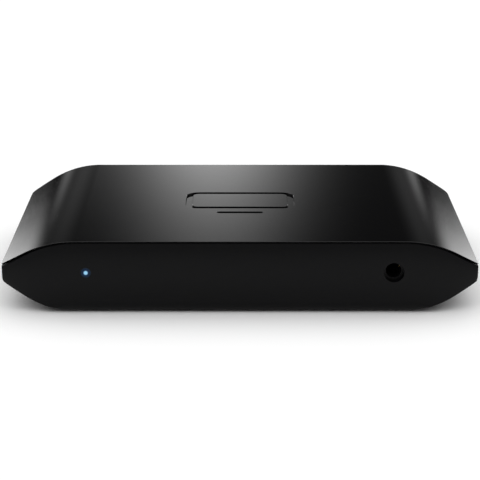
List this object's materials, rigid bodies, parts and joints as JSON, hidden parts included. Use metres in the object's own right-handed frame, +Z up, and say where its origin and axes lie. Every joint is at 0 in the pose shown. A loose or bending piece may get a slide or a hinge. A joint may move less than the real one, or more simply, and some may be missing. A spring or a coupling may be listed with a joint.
{
  "type": "video capture box",
  "caption": "Low black box that takes in a video signal, passes it on and sends it to a computer, with a glossy bevelled cover, a status light, an audio socket and rear ports.",
  "frame": {"origin": "on the floor under the middle of the box, level with the undersides of the feet", "axes": "+X to the right along the width as seen from the front, +Y from the front wall to the rear sockets, +Z up"},
  "size_m": [0.112, 0.072, 0.018],
  "materials": {
    "case_matte": "fine satin-textured black moulding",
    "cover_gloss": "polished piano black",
    "foot_rubber": "matt black anti-slip rubber",
    "screw_steel": "zinc-plated steel",
    "lamp_pipe": "clear moulding lit blue from behind",
    "lamp_chip": "blue light-emitting chip",
    "board_laminate": "glass-fibre laminate with green solder mask",
    "socket_steel": "nickel-plated sheet steel",
    "socket_plastic": "heat-proof black moulding",
    "contact_gold": "gold-plated copper alloy",
    "chip_plastic": "moulded chip package",
    "pad_silicone": "soft grey-blue heat-conducting silicone",
    "sink_aluminium": "plain extruded aluminium",
    "coil_ferrite": "moulded ferrite",
    "chip_ceramic": "fired ceramic with tinned ends"
  },
  "bodies": {
    "box": {"lower_case": "case_matte", "top_cover": "cover_gloss", "rubber_feet": "foot_rubber", "case_screws": "screw_steel", "light_pipe": "lamp_pipe", "main_board": "board_laminate", "board_screws": "screw_steel", "video_in_shell": "socket_steel", "video_in_core": "socket_plastic", "video_in_contacts": "contact_gold", "video_out_shell": "socket_steel", "video_out_core": "socket_plastic", "video_out_contacts": "contact_gold", "computer_port_shell": "socket_steel", "computer_port_core": "socket_plastic", "computer_port_contacts": "contact_gold", "audio_jack_housing": "socket_plastic", "audio_jack_pins": "contact_gold", "status_light": "lamp_chip", "capture_processor": "chip_plastic", "processor_pad": "pad_silicone", "heat_sink": "sink_aluminium", "heat_sink_spacers": "screw_steel", "heat_sink_screws": "screw_steel", "heat_sink_nuts": "screw_steel", "floor_pad": "pad_silicone", "memory_chips": "chip_plastic", "video_receiver_chip": "chip_plastic", "video_driver_chip": "chip_plastic", "port_controller_chip": "chip_plastic", "audio_codec_chip": "chip_plastic", "flash_chip": "chip_plastic", "clock_crystals": "socket_steel", "power_inductors": "coil_ferrite", "power_regulators": "chip_plastic", "bulk_capacitors": "sink_aluminium", "ceramic_capacitors": "chip_ceramic", "chip_resistors": "chip_ceramic", "surge_arrays": "chip_plastic", "line_filters": "coil_ferrite", "shield_can": "socket_steel"},
    "audio_tip_spring": {"audio_tip_spring": "contact_gold"},
    "audio_ring_spring": {"audio_ring_spring": "contact_gold"},
    "audio_sleeve_spring": {"audio_sleeve_spring": "contact_gold"}
  },
  "joints": [
    {"name": "audio_tip_flex", "type": "hinge", "parent": "box", "child": "audio_tip_spring", "pos_m": [0.03865, -0.018, 0.0104], "axis": [0, 0, 1], "range_deg": [0, 6], "stiffness_Nm_per_rad": 0.06},
    {"name": "audio_ring_flex", "type": "hinge", "parent": "box", "child": "audio_ring_spring", "pos_m": [0.03315, -0.0283, 0.0104], "axis": [0, 0, 1], "range_deg": [0, 6], "stiffness_Nm_per_rad": 0.06},
    {"name": "audio_sleeve_flex", "type": "hinge", "parent": "box", "child": "audio_sleeve_spring", "pos_m": [0.03865, -0.0243, 0.0104], "axis": [0, 0, 1], "range_deg": [0, 6], "stiffness_Nm_per_rad": 0.06}
  ]
}
